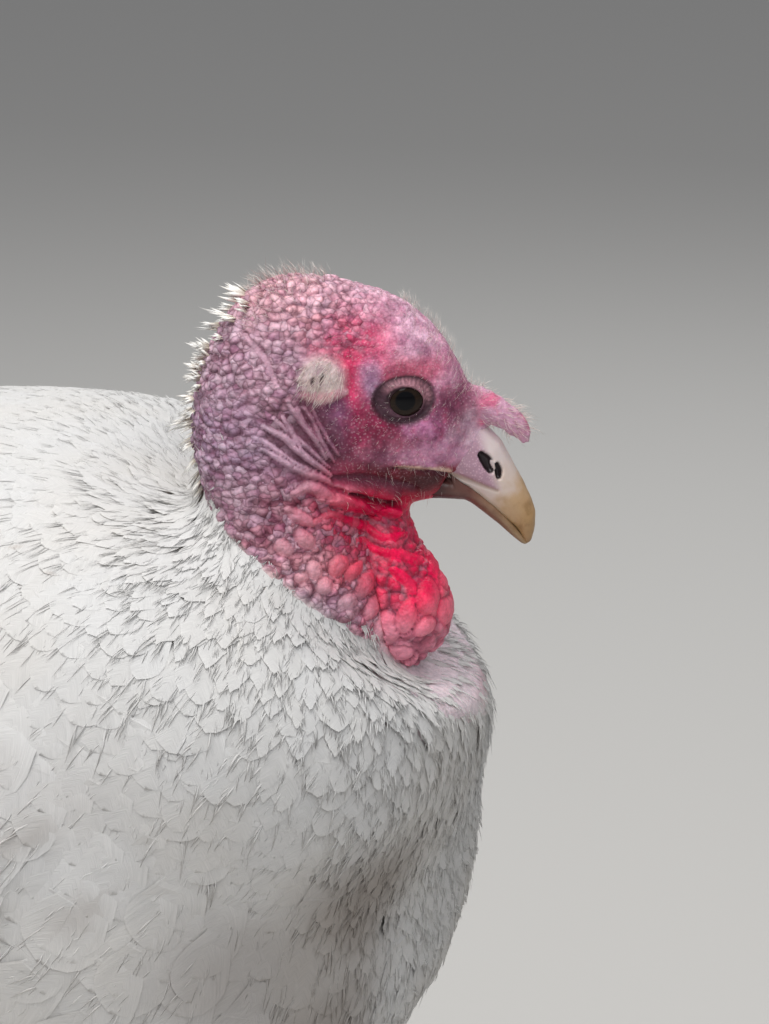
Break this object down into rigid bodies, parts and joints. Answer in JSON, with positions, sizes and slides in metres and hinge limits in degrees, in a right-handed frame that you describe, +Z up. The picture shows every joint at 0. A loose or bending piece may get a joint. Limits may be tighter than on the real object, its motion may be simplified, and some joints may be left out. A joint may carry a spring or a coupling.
{
  "type": "domestic turkey",
  "caption": "Life-size white domestic turkey standing still, neck drawn in and head turned to its left, with bare caruncled head, snood and red wattle.",
  "frame": {"origin": "middle of the bounding box at floor level, under the bird", "axes": "+X ahead of the body, +Y to the bird's left, +Z up"},
  "size_m": [0.7828, 0.341, 0.6114],
  "materials": {
    "plumage": "white feathers, matte with a soft sheen",
    "skin": "bare caruncled skin, pink, lilac and violet, satin",
    "wattle": "bare folded skin, deep red, moist satin",
    "horn": "keratin of the bill, pale at the base and tan to brown at the tip, semi-gloss",
    "eye": "dark brown iris under a wet clear cornea",
    "leg_skin": "scaly pinkish skin, dull",
    "claw": "horn, pale brown, semi-gloss"
  },
  "bodies": {
    "root": {"head": "skin", "neck_upper": "skin", "neck_lower": "plumage", "trunk": "plumage", "tail": "plumage", "snood": "skin", "wattle": "wattle", "upper_bill": "horn", "lower_bill": "horn", "ear_left": "skin", "eye_left": "eye", "wing_left": "plumage", "thigh_left": "plumage", "shank_left": "leg_skin", "foot_left": "leg_skin", "spur_left": "claw", "toe_inner_left": "leg_skin", "toe_middle_left": "leg_skin", "toe_outer_left": "leg_skin", "toe_hind_left": "leg_skin", "claw_inner_left": "claw", "claw_middle_left": "claw", "claw_outer_left": "claw", "claw_hind_left": "claw", "ear_right": "skin", "eye_right": "eye", "wing_right": "plumage", "thigh_right": "plumage", "shank_right": "leg_skin", "foot_right": "leg_skin", "spur_right": "claw", "toe_inner_right": "leg_skin", "toe_middle_right": "leg_skin", "toe_outer_right": "leg_skin", "toe_hind_right": "leg_skin", "claw_inner_right": "claw", "claw_middle_right": "claw", "claw_outer_right": "claw", "claw_hind_right": "claw"}
  },
  "joints": []
}
